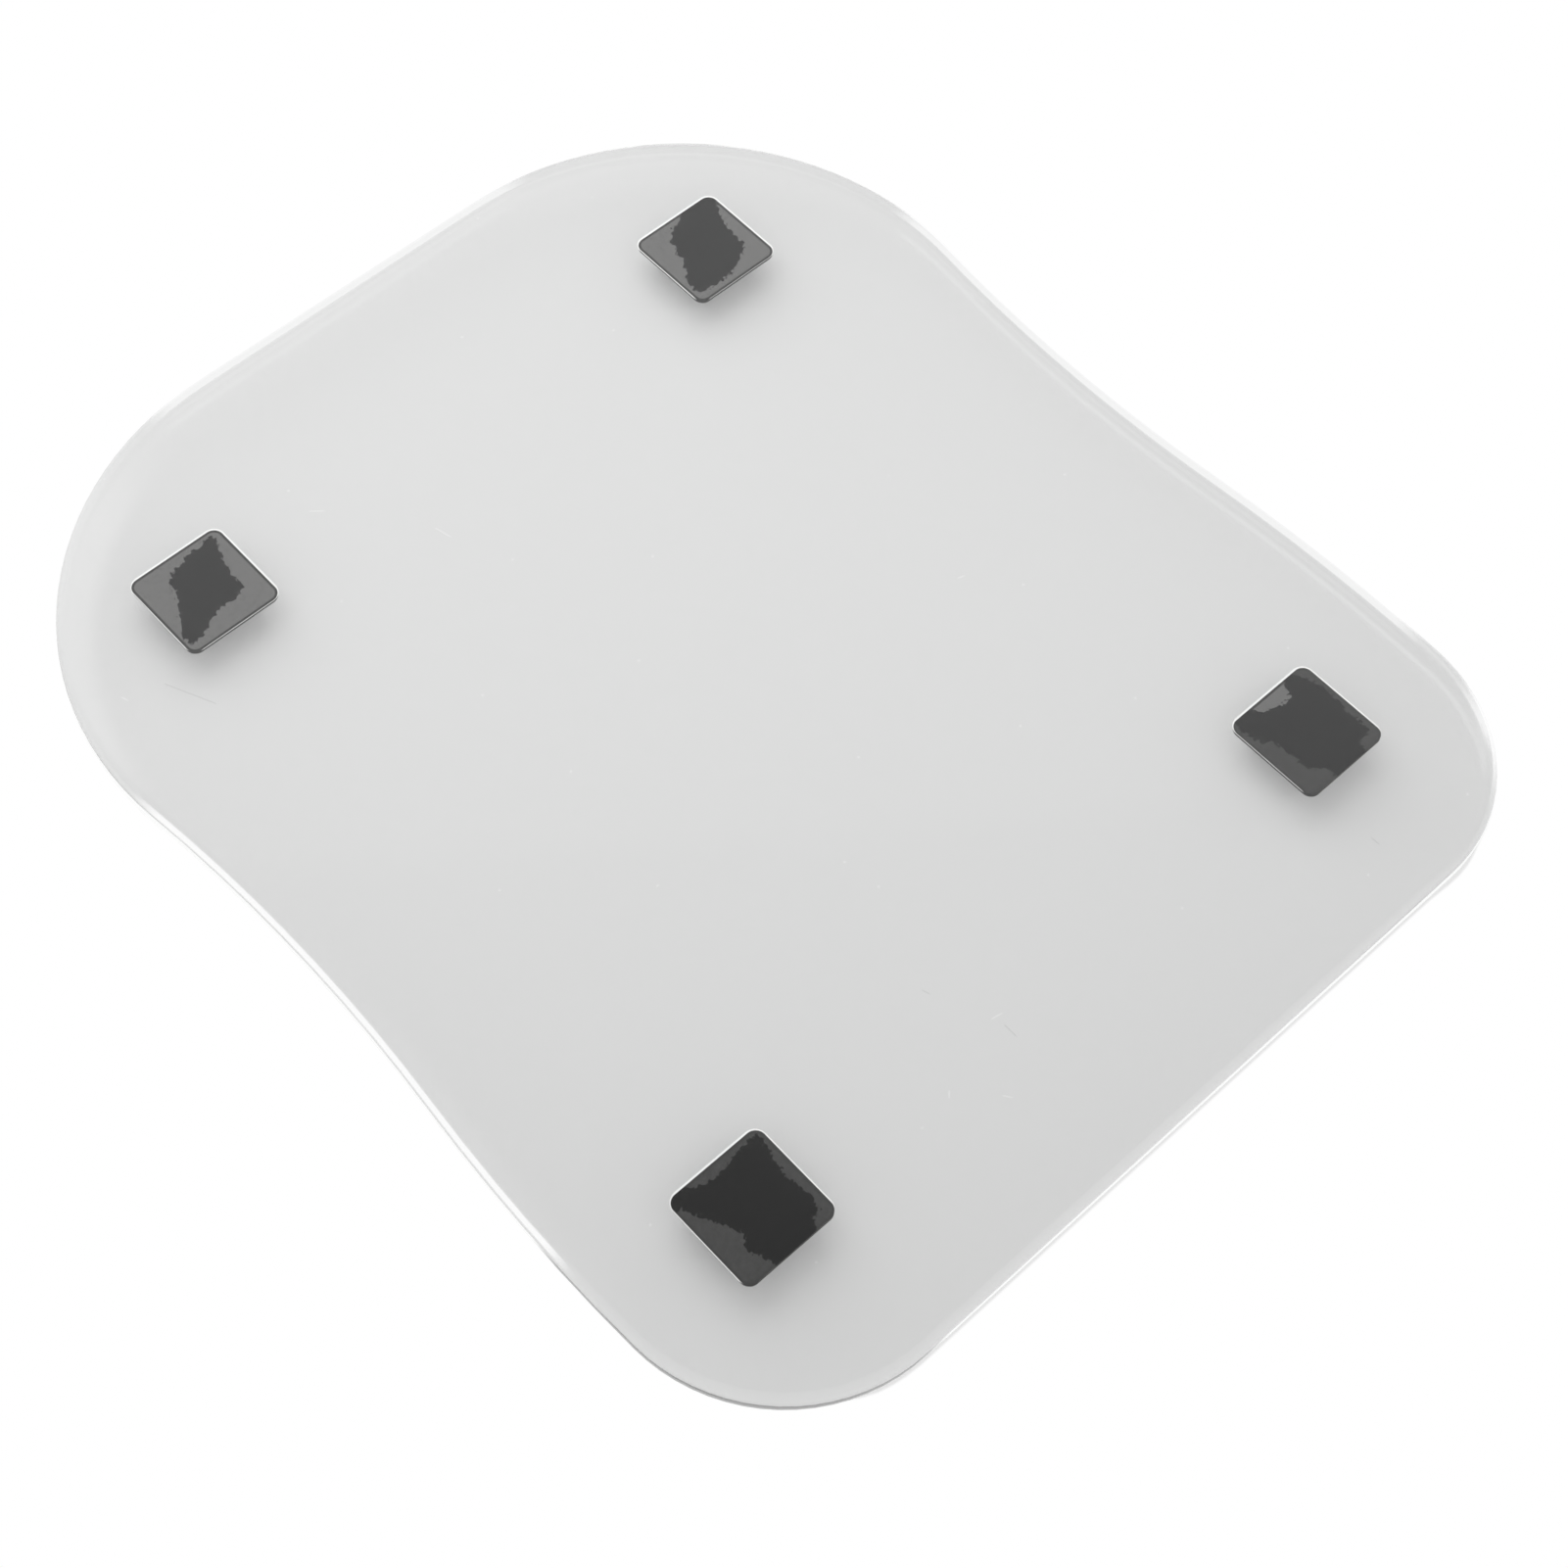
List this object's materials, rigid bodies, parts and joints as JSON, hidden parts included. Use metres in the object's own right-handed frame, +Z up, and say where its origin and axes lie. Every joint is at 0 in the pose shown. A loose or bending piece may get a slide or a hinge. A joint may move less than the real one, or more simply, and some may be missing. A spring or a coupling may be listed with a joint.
{
  "type": "bathroom scale platform",
  "caption": "Clear glass standing platform of a bathroom scale, hollow-sided with a polished edge, on tapered square rubber feet bonded underneath.",
  "frame": {"origin": "on the floor plane, under the centre of the glass plate's bounding box", "axes": "+Z up; +Y from the front edge (tighter corners, feet wider apart) to the rear edge; +X to the right"},
  "size_m": [0.255, 0.3, 0.014],
  "materials": {
    "clear_glass": "toughened clear float glass with a polished pencil edge",
    "foot_rubber": "matt black moulded rubber",
    "adhesive": "clear pressure-sensitive adhesive that lets the dark rubber show through, partly wetted out against the glass, pale at its cut edge"
  },
  "bodies": {
    "root": {"glass_platform": "clear_glass", "foot_front_left": "foot_rubber", "foot_front_right": "foot_rubber", "foot_rear_left": "foot_rubber", "foot_rear_right": "foot_rubber", "adhesive_pad_front_left": "adhesive", "adhesive_pad_front_right": "adhesive", "adhesive_pad_rear_left": "adhesive", "adhesive_pad_rear_right": "adhesive"}
  },
  "joints": []
}
